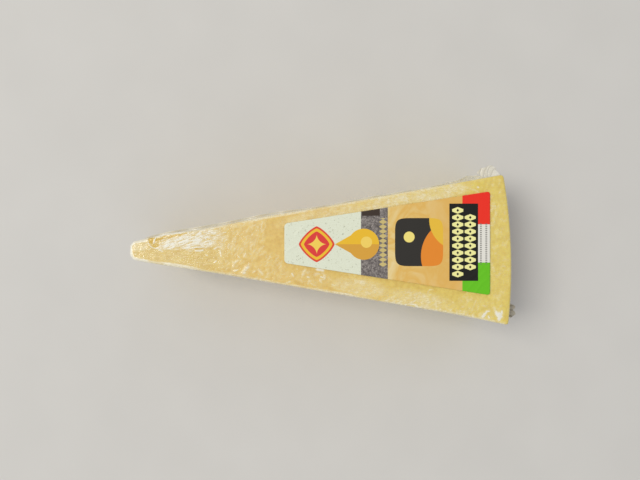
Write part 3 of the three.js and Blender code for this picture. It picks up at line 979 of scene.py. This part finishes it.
# %% The seam
SEAM_ACROSS = 16
SHOULDER = (134.0, 154.0)
SHOULDER_FADE = 3.0
ROLL_AT = 0.28
ROLL_WIDTH = 0.24
ROLL_HEIGHT = 0.16
GROOVE_WIDTH = 0.22
GROOVE_DEPTH = 0.10
CRUMPLE_SIZE = 0.9
CRUMPLE_HEIGHT = 0.22
RIPPLE_HEIGHT = 0.03
SEAM_HAZE = 0.86

bm, shares = gridded_sheet((len(place_along) - 1, SEAM_ACROSS))
station = np.rint(shares[:, 0] * (len(place_along) - 1)).astype(int)
across = shares[:, 1]
offset = -SEAM_ROOT + (reach[station] + SEAM_ROOT) * across
plan = root[station] + way_out[station] * offset[:, None]
seam_places = np.column_stack((plan, SEAM_Z + lift[station] * across))
crumpled = between(plan[:, 0], *SHOULDER, SHOULDER_FADE) * on_side[station]
crumple = lumps(seam_places, CRUMPLE_SIZE, 9)
from_edge = reach[station] - offset
roll = np.exp(-(((from_edge - ROLL_AT) / ROLL_WIDTH) ** 2))
groove = np.exp(-(((from_edge - pale[station]) / GROOVE_WIDTH) ** 2))
seam_places[:, 2] += ROLL_HEIGHT * roll - GROOVE_DEPTH * groove
seam_places[:, 2] += across * (RIPPLE_HEIGHT + CRUMPLE_HEIGHT * crumpled) * crumple
gaps = crumpled * smooth_step(crumple, 0.0, 0.5)
seam_haze = SEAM_HAZE + 0.08 * roll - 0.30 * groove - 0.45 * gaps
mark(bm, "haze", np.clip(seam_haze, 0.1, 0.95))
mark(bm, "tint", smooth_step(from_edge, pale[station] - 0.1, pale[station] + 0.25))
thicken(bm, seam_places, SEAM_THICKNESS)
seam = made(bm, "seam", seam_finish)

# %% [markdown]
# At the two corners of the rim the bag's own corners stand off as ears. An ear is a fan of film
# between its root in the wall and its free edge. It is gathered into a few round lobes, and the
# creases between them sweep aside on their way to the root and stray a little. So a grid is
# spread between the two lines, and the height of each point follows from where it lies between
# the creases. Shade is painted into the creases, and the lower ear, which lies in the wedge's
# shadow, has painted shade at its root and a film painted darker and browner all over.

# %% The two ears
EAR_CELLS = (110, 50)
EAR_LEVEL = 28.4
EAR_WRINKLE = 0.10
EAR_STRAY = 0.07
EAR_HAZE = 0.93
# the ear's length and depth in the noise that strays and wrinkles it, in millimetres
STRAY_FIELD = (30, 14, 0)
STRAY_SIZE = 7
WRINKLE_FIELD = (50, 5)
WRINKLE_SIZE = 1.4
# the share of an edge's length over which its bends are rounded
BEND_ROUND = 0.02
UPPER_EDGE = [
    (151.0, 34.0), (151.5, 35.0), (152.4, 35.9), (153.2, 36.6), (155.0, 37.0), (155.8, 37.6),
    (157.2, 37.9), (158.3, 37.7), (159.2, 37.3), (159.7, 36.6), (159.7, 35.7), (160.4, 34.9),
    (161.3, 33.9), (162.2, 33.0),
]
LOWER_EDGE = [
    (165.8, -24.3), (166.8, -24.4), (167.8, -24.9), (168.3, -25.4), (168.2, -26.1),
    (167.5, -26.7), (167.6, -27.3), (168.2, -28.0), (168.4, -28.7), (167.7, -29.6),
    (167.0, -30.0), (166.2, -30.4), (165.5, -30.1), (165.0, -29.6),
]


def rounded_line(points, shares):
    """Places at these shares of a line's length, with its bends rounded off."""
    points = np.array(points)
    passed = np.linalg.norm(np.diff(points, axis=0), axis=1).cumsum()
    passed = np.concatenate(([0.0], passed)) / passed[-1]
    found = np.zeros((len(shares), 2))
    for offset in (-BEND_ROUND, 0.0, BEND_ROUND):
        moved = np.clip(shares + offset, 0, 1)
        found += np.column_stack([np.interp(moved, passed, column) for column in points.T]) / 3
    return found


def ear(name, edge, root_ends, bow, sweep, creases, fullness, crease_shade, root_shade, material):
    """A fan of film with creases at these shares of its free edge, lobes this full, and painted shade
    in its creases and at its root.
    """
    bm, shares = gridded_sheet(EAR_CELLS)
    along, off = shares[:, 0], shares[:, 1]
    inner = rounded_line(root_ends, along)
    plan = inner + (rounded_line(edge, along) - inner) * off[:, None]
    plan += np.outer(4 * off * (1 - off), bow)
    stray = lumps(shares * STRAY_FIELD, STRAY_SIZE, 23)
    fold = along + sweep * (1 - off) ** 0.6 + EAR_STRAY * stray
    lobe = np.clip(np.searchsorted(creases, fold) - 1, 0, len(creases) - 2)
    low, high = np.array(creases)[lobe], np.array(creases)[lobe + 1]
    inside = np.clip((fold - low) / (high - low), 0, 1)
    bulge = (4 * inside * (1 - inside)) ** 0.7
    wrinkle_places = (fold * WRINKLE_FIELD[0], off * WRINKLE_FIELD[1], along * 0)
    wrinkle = lumps(np.column_stack(wrinkle_places), WRINKLE_SIZE, 9)
    bulge *= np.minimum(1, 2.5 * (high - low))
    level = EAR_LEVEL + fullness * bulge * (0.35 + 0.65 * off) + EAR_WRINKLE * off * wrinkle
    mark(bm, "haze", EAR_HAZE - 0.08 * smooth_step(wrinkle, 0.1, 0.6))
    # painted shade: the tint darkens the creases between the lobes, and the root by the wall
    mark(bm, "tint", 0.1 + crease_shade * (1 - bulge) ** 2 + root_shade * (1 - off) ** 1.5)
    thicken(bm, np.column_stack((plan, level)), SEAM_THICKNESS)
    return made(bm, name, material)


upper_ear = ear(
    "upper_ear",
    UPPER_EDGE,
    ((153.9, 30.7), (160.6, 31.8)),
    bow=(0.4, 0.8),
    sweep=0.35,
    creases=(-0.16, 0.24, 0.46, 0.62, 0.80, 1.50),
    fullness=0.6,
    crease_shade=0.45,
    root_shade=0.0,
    material=ear_finish,
)
lower_ear = ear(
    "lower_ear",
    LOWER_EDGE,
    ((162.3, -24.2), (162.0, -30.2)),
    bow=(0.0, 0.3),
    sweep=-0.08,
    creases=(-0.10, 0.16, 0.42, 0.75, 1.12),
    fullness=1.0,
    crease_shade=0.1,
    root_shade=0.6,
    material=painted_shade_ear_finish,
)

# %% [markdown]
# The label is printed in fields and plain shapes. Each is a mask worked out from the place in
# millimetres, 1 inside and 0 outside, so its edges are sharp however near the camera comes.
# Three kinds of mask are enough: a field, a disc that a power turns into a diamond or a star,
# and a row of lozenges.

# %% Masks for the printed label
label_finish, tree, output, place = new_finish("printed_paper_label")
split = node(tree, "SeparateXYZ", {0: place})
label_x = split.outputs["X"]
label_y = split.outputs["Y"]
# past the label's sides, for a field that runs from side to side
FAR = 60.0


def away(coordinate, middle):
    """How far the coordinate is from this middle, either way."""
    offset = node(tree, "Math", {0: coordinate, 1: middle}, operation="SUBTRACT")
    return node(tree, "Math", {0: offset}, operation="ABSOLUTE")


def rectangle(low_x, high_x, low_y=-FAR, high_y=FAR):
    """A field between two places along x and two along y."""
    from_x = away(label_x, (low_x + high_x) / 2)
    from_y = away(label_y, (low_y + high_y) / 2)
    along = node(tree, "Math", {0: from_x, 1: (high_x - low_x) / 2}, operation="LESS_THAN")
    over = node(tree, "Math", {0: from_y, 1: (high_y - low_y) / 2}, operation="LESS_THAN")
    return node(tree, "Math", {0: along, 1: over}, operation="MULTIPLY")


def disc(x, y, radius, power=2.0):
    """A disc. A power near 1 makes it a diamond, 6 a rounded square, and 0.6 a star."""
    terms = []
    for coordinate, middle in ((label_x, x), (label_y, y)):
        share = node(tree, "Math", {0: away(coordinate, middle), 1: radius}, operation="DIVIDE")
        terms.append(node(tree, "Math", {0: share, 1: power}, operation="POWER"))
    total = node(tree, "Math", {0: terms[0], 1: terms[1]}, operation="ADD")
    return node(tree, "Math", {0: total, 1: 1.0}, operation="LESS_THAN")


def lozenges(x, half_width, half_pitch, low_y, high_y, size=1.0, fullness=1.25):
    """A row of lozenges along y, one for each pitch. The fuller they are, the blunter."""
    start = node(tree, "Math", {0: label_y, 1: low_y + half_pitch}, operation="SUBTRACT")
    along_pitch = node(tree, "Math", {0: start, 1: half_pitch}, operation="PINGPONG")
    passed = node(tree, "Math", {0: along_pitch, 1: half_pitch}, operation="DIVIDE")
    left = node(tree, "Math", {0: size, 1: passed}, operation="SUBTRACT")
    reach = node(tree, "Math", {0: left, 1: fullness * half_width}, operation="MULTIPLY")
    row = node(tree, "Math", {0: away(label_x, x), 1: reach}, operation="LESS_THAN")
    field = rectangle(x - half_width, x + half_width, low_y, high_y)
    return node(tree, "Math", {0: row, 1: field}, operation="MULTIPLY")


print(f"the masks start from {len(tree.nodes)} nodes")

# %% [markdown]
# The fields are a white end with stone-coloured flecks, a strip like dark stone with a row of
# gold lozenges, a wide field clouded in ochres, and three bars of red, white and green across
# the end with a black bar over them. They are kept in a list, from the lowest ink to the last.
# The paper's fibres are drawn half a millimetre wide, far coarser than real ones, to show.

# %% The label's fields
FIBRE_SIZE = 0.5
FLECK_SIZE = 0.8
STONE_SIZE = 1.0
SWIRL_SIZE = 11
STRIP_START = 98.26
STRIP_END = 109.65
BARS_START = 141.26
PAST_END = 160.0
GREEN_TO = -5.22
RED_FROM = 10.99
BLACK = "#100e08"

fibres = node(tree, "TexNoise", {"Vector": place, "Scale": 1 / FIBRE_SIZE, "Detail": 3.0})
white_print = node(tree, "ValToRGB", {0: fibres}, stops=[(0.3, "#dde1c9"), (0.7, "#e5ead6")])
flecks = node(tree, "TexNoise", {"Vector": place, "Scale": 1 / FLECK_SIZE, "Detail": 2.0})
sparse = {"Value": flecks, "From Min": 0.63, "From Max": 0.70, "To Min": 0.0, "To Max": 0.5}
fleck_share = node(tree, "MapRange", sparse)
rough = {"Vector": place, "Scale": 1 / STONE_SIZE, "Detail": 5.0, "Roughness": 0.85}
stone = node(tree, "TexNoise", rough)
greys = [(0.36, "#453f3c"), (0.5, "#736c69"), (0.62, "#a79f98")]
stone_print = node(tree, "ValToRGB", {0: stone}, stops=greys)
clouded = {"Vector": place, "Scale": 1 / SWIRL_SIZE, "Detail": 4.0}
swirl = node(tree, "TexNoise", clouded | {"Roughness": 0.55, "Distortion": 0.9})
ochres = [
    (0.30, "#ebd49a"), (0.42, "#e6c67c"), (0.50, "#e2b65e"), (0.58, "#e7c578"), (0.72, "#edd7a2"),
]
swirl_print = node(tree, "ValToRGB", {0: swirl}, stops=ochres)
to_bars = {"Value": label_x, "From Min": 112.0, "From Max": 136.0, "To Max": 0.75}
plainer = node(tree, "MapRange", to_bars)
calmed = {"Factor": plainer, "A": swirl_print, "B": "#e2b35d"}
ochre_print = node(tree, "Mix", calmed, data_type="RGBA")
gold_row = lozenges(107.6, 1.5, 1.0, -7.0, 13.6)
gold_share = node(tree, "Math", {0: gold_row, 1: 0.85}, operation="MULTIPLY")
layers = [
    (fleck_share, "#8f8c72"),
    (rectangle(STRIP_START, STRIP_END), stone_print),
    (rectangle(98.7, 106.3, 14.6, 17.6), "#3a2d24"),
    (gold_share, "#d6c279"),
    (rectangle(STRIP_END, PAST_END), ochre_print),
    (rectangle(BARS_START, PAST_END, RED_FROM, FAR), "#ef2d19"),
    (rectangle(BARS_START, PAST_END, GREEN_TO, RED_FROM), "#e6e4da"),
    (rectangle(BARS_START, PAST_END, -FAR, GREEN_TO), "#66c416"),
    (rectangle(135.74, 147.92, -12.99, 19.78), BLACK),
]
print(f"{len(layers)} fields on the label")

# %% [markdown]
# The shapes are simple: a star in a diamond near the narrow end, a drop made of a disc and a
# cone that narrows to its tip, and a panel with a low sun over two hills. Two rows of lozenges
# with dark middles run over the black bar, and fine grey dashes over the white one.

# %% The label's shapes
MOTIF_Y = 2.54
STAR_X = 79.5
DROP_TIP_X = 87.2
CONE_END_X = 96.3
CONE_SLOPE = 0.56
BEAD_HALF_PITCH = 1.5
DASH_PITCH = 0.9
DASH_SHARE = 0.6

layers += [
    (disc(STAR_X, MOTIF_Y, 7.6, power=1.3), "#e0452f"),
    (disc(STAR_X, MOTIF_Y, 6.7, power=1.3), "#f0bf2c"),
    (disc(STAR_X, MOTIF_Y, 5.4, power=1.3), "#dd3a35"),
    (disc(STAR_X, MOTIF_Y, 4.2, power=0.6), "#f4cf55"),
]

from_tip = node(tree, "Math", {0: label_x, 1: DROP_TIP_X}, operation="SUBTRACT")
cone_half = node(tree, "Math", {0: from_tip, 1: CONE_SLOPE}, operation="MULTIPLY")
wedge = node(tree, "Math", {0: away(label_y, MOTIF_Y), 1: cone_half}, operation="LESS_THAN")
before_end = node(tree, "Math", {0: label_x, 1: CONE_END_X}, operation="LESS_THAN")
cone = node(tree, "Math", {0: wedge, 1: before_end}, operation="MULTIPLY")
drop = node(tree, "Math", {0: cone, 1: disc(99.4, MOTIF_Y, 6.6)}, operation="MAXIMUM")
lower_half = node(tree, "Math", {0: label_y, 1: MOTIF_Y}, operation="LESS_THAN")
shaded_half = node(tree, "Math", {0: drop, 1: lower_half}, operation="MULTIPLY")
layers += [(drop, "#ecbc2b"), (shaded_half, "#d9a23a"), (disc(100.6, 3.4, 2.4), "#f3d262")]

panel = disc(122.9, 3.44, 10.2, power=6.0)
layers.append((panel, "#2c2924"))
for hill, ink in ((disc(139.7, -2.5, 16.0), "#e78a27"), (disc(140.2, 13.0, 13.0), "#e9bd3b")):
    layers.append((node(tree, "Math", {0: panel, 1: hill}, operation="MULTIPLY"), ink))
layers.append((disc(118.7, 5.6, 2.3), "#f3e07c"))

for row_x, low_y, high_y in ((139.3, -11.6, 18.4), (144.6, -8.6, 15.4)):
    beads = lozenges(row_x, 2.35, BEAD_HALF_PITCH, low_y, high_y, size=0.94, fullness=1.7)
    middles = lozenges(row_x, 1.0, BEAD_HALF_PITCH, low_y, high_y, size=0.45)
    layers += [(beads, "#f3efa0"), (middles, BLACK)]

first_line = rectangle(148.7, 149.5, -6.0, 11.5)
second_line = rectangle(151.0, 151.8, -6.0, 11.5)
lines = node(tree, "Math", {0: first_line, 1: second_line}, operation="ADD")
pitches = node(tree, "Math", {0: label_y, 1: DASH_PITCH}, operation="DIVIDE")
in_pitch = node(tree, "Math", {0: pitches}, operation="FRACT")
in_dash = node(tree, "Math", {0: in_pitch, 1: DASH_SHARE}, operation="LESS_THAN")
dashes = node(tree, "Math", {0: lines, 1: in_dash}, operation="MULTIPLY")
layers.append((node(tree, "Math", {0: dashes, 1: 0.8}, operation="MULTIPLY"), "#6f6c66"))
print(f"{len(layers)} inks in all")

# %% [markdown]
# Each ink is laid over those below it, as a printer does. The paper is coated, so it has a
# slight sheen, and its fibres give it a barely rough face.

# %% Finish: printed label
colour = white_print
for mask, ink in layers:
    colour = node(tree, "Mix", {"Factor": mask, "A": colour, "B": ink}, data_type="RGBA")
label_bump = node(tree, "Bump", {"Strength": 0.2, "Distance": 0.05 * MM, "Height": fibres})
coated = {"Base Color": colour, "Roughness": 0.42, "Specular IOR Level": 0.35, "Normal": label_bump}
label_shader = node(tree, "BsdfPrincipled", coated)
tree.links.new(label_shader.outputs[0], output.inputs["Surface"])
print(f"{label_finish.name}: {len(tree.nodes)} nodes")

# %% [markdown]
# The label is a sheet of paper a tenth of a millimetre thick, stuck on the film. It has slow
# waves, and a few creases run across its green corner and its narrow end.

# %% The label
# the height of the sheet, then the radius of its corners and its thickness
LABEL_Z = 40.3
LABEL_CORNER = 1.35
LABEL_THICKNESS = 0.12
LABEL_CELLS = (170, 80)
LABEL_CROWDING = 0.3
# height and length of the sheet's waves
SLOW_WAVE = (0.05, 9)
QUICK_WAVE = (0.02, 3)
# height and width, then the points of the crease
CREASES = [
    (0.16, 0.45, (141.7, -13.2), (145.3, -11.4), (149.5, -7.4)),
    (0.14, 0.40, (146.9, -17.8), (149.5, -14.0), (152.3, -12.0)),
    (0.12, 0.40, (143.3, -17.0), (146.1, -13.6), (151.3, -8.6)),
    (0.10, 0.60, (70.7, 6.6), (73.7, 9.6)),
    (0.10, 0.50, (67.1, -0.4), (71.3, 2.4)),
]

bm, shares = gridded_sheet(LABEL_CELLS)
label_length = LABEL_END - LABEL_START
x = LABEL_START + label_length * eased(shares[:, 0], LABEL_CROWDING)
half = label_half_width(x)
y = half * (2 * eased(shares[:, 1], LABEL_CROWDING) - 1)
end_depth = label_length / 2 - np.abs(x - (LABEL_START + LABEL_END) / 2)
end_new, side_new, _ = drawn_in(end_depth, half - np.abs(y), LABEL_CORNER)
x += np.sign(x - (LABEL_START + LABEL_END) / 2) * (end_depth - end_new)
y = np.sign(y) * (half - side_new) + LABEL_MIDDLE_Y
label_places = np.column_stack((x, y, np.full(len(x), LABEL_Z)))
slow = SLOW_WAVE[0] * lumps(label_places, SLOW_WAVE[1], 11)
quick = QUICK_WAVE[0] * lumps(label_places, QUICK_WAVE[1], 12)
label_places[:, 2] += slow + quick
for height, width, *points in CREASES:
    label_places[:, 2] += height * near_line(label_places[:, :2], points, width)
thicken(bm, label_places, -LABEL_THICKNESS)
label = made(bm, "label_sheet", label_finish)

# %% [markdown]
# Each piece rides on the pack's one body. The solids of the wrapped wedge and of the label are
# hidden, since the cheese, the film, the seam and the two ears stand for the first, and the
# sheet for the second.

# %% What replaces what
wrapped = (cheese, film_top, film_rest, seam, upper_ear, lower_ear)
for piece in wrapped:
    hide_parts("wrapped_wedge")
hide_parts("label")
print(f"{len(wrapped)} pieces stand for the wedge, and {label.name} for the label")

# %% [markdown]
# A plain pale floor, a wide soft light from the left and a smaller one that the film at the
# nose mirrors into the lens. The camera looks straight down, as it did for the photograph.

# %% Floor, light and camera
FLOOR_REACH = 2.0
FLOOR_DROP = 0.0001
FLOOR_CLOUD_SIZE = 40
SKY_STRENGTH = 0.62
CAMERA = Vector((80.9, 4.33, 245.0))
VIEW_ANGLE = 67.1

floor_finish, tree, output, place = new_finish("pale_floor")
cloudy = {"Vector": place, "Scale": 1 / FLOOR_CLOUD_SIZE, "Detail": 2.0}
floor_cloud = node(tree, "TexNoise", cloudy)
floor_tone = node(tree, "ValToRGB", {0: floor_cloud}, stops=[(0.3, "#cfcdc8"), (0.7, "#d2d0cb")])
floor_shader = node(tree, "BsdfPrincipled", {"Base Color": floor_tone, "Roughness": 0.8})
tree.links.new(floor_shader.outputs[0], output.inputs["Surface"])
bm = bmesh.new()
bmesh.ops.create_grid(bm, x_segments=2, y_segments=2, size=FLOOR_REACH)
floor_mesh = bpy.data.meshes.new("floor")
bm.to_mesh(floor_mesh)
bm.free()
floor_mesh.materials.append(floor_finish)
floor = bpy.data.objects.new("floor", floor_mesh)
floor.location.z = -FLOOR_DROP
bpy.context.scene.collection.objects.link(floor)
floor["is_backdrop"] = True


def area_light(name, at, towards, size, power, colour):
    """A rectangle of light at one place in metres, facing another."""
    data = bpy.data.lights.new(name, "AREA")
    data.shape = "RECTANGLE"
    data.size, data.size_y = size
    data.energy = power
    data.color = linear(colour)[:3]
    lamp = bpy.data.objects.new(name, data)
    lamp.location = at
    lamp.rotation_euler = (Vector(towards) - Vector(at)).to_track_quat("-Z", "Y").to_euler()
    bpy.context.scene.collection.objects.link(lamp)


area_light(
    "key",
    at=(-1.7, 0.4, 2.5),
    towards=(0, 0, 0.02),
    size=(1.3, 1.3),
    power=46.0,
    colour="#fffaf2",
)
area_light(
    "nose_box",
    at=(-0.298, 0.01, 0.95),
    towards=(-0.05, 0, 0.04),
    size=(0.15, 0.045),
    power=0.09,
    colour="#ffffff",
)
world = bpy.data.worlds.new("studio")
world.use_nodes = True
background = world.node_tree.nodes["Background"]
background.inputs["Color"].default_value = linear("#f2f4f8")
background.inputs["Strength"].default_value = SKY_STRENGTH
bpy.context.scene.world = world

lens = bpy.data.cameras.new("camera")
lens.angle = math.radians(VIEW_ANGLE)
camera = bpy.data.objects.new("camera", lens)
camera.location = CAMERA * MM + shift
bpy.context.scene.collection.objects.link(camera)
bpy.context.scene.camera = camera
bpy.context.scene.view_settings.view_transform = "Standard"
print(f"the camera stands {camera.location.z / MM:.0f} mm up, straight above the wedge")

# %% [markdown]
# Last, the size of the whole look is written beside the size of the solids, to compare them.

# %% Sizes, and the end
visual_bounds = [list(corner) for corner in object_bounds()]
visual_sides = [round((high - low) / MM, 1) for low, high in zip(*visual_bounds)]
print("the whole look measures", visual_sides, "mm")
